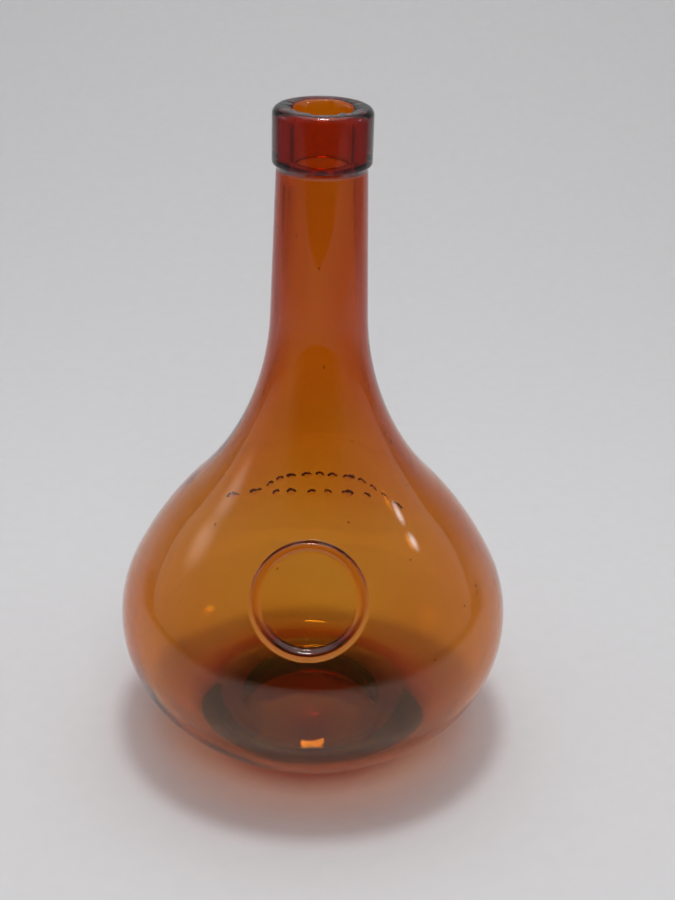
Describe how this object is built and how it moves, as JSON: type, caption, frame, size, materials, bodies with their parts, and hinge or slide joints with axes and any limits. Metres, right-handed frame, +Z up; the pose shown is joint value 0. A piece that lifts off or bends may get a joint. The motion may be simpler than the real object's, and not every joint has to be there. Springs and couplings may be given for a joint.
{
  "type": "glass bottle",
  "caption": "Empty amber glass bottle with a round onion-shaped body, long slightly tapering neck, laid-on lip with a cork bore, a raised ring bead in front and rows of raised pips behind.",
  "frame": {"origin": "centre of the resting plane, on the bottle's axis", "axes": "+Z up along the axis towards the mouth; -Y is the front, with the ring bead; +X is to the right seen from the front"},
  "size_m": [0.13, 0.13, 0.216],
  "materials": {
    "amber_glass": "clear amber soda-lime glass, fire-polished, with faint mould ripple, seeds and shelf wear"
  },
  "bodies": {
    "root": {"blown_body": "amber_glass", "applied_lip": "amber_glass"}
  },
  "joints": []
}
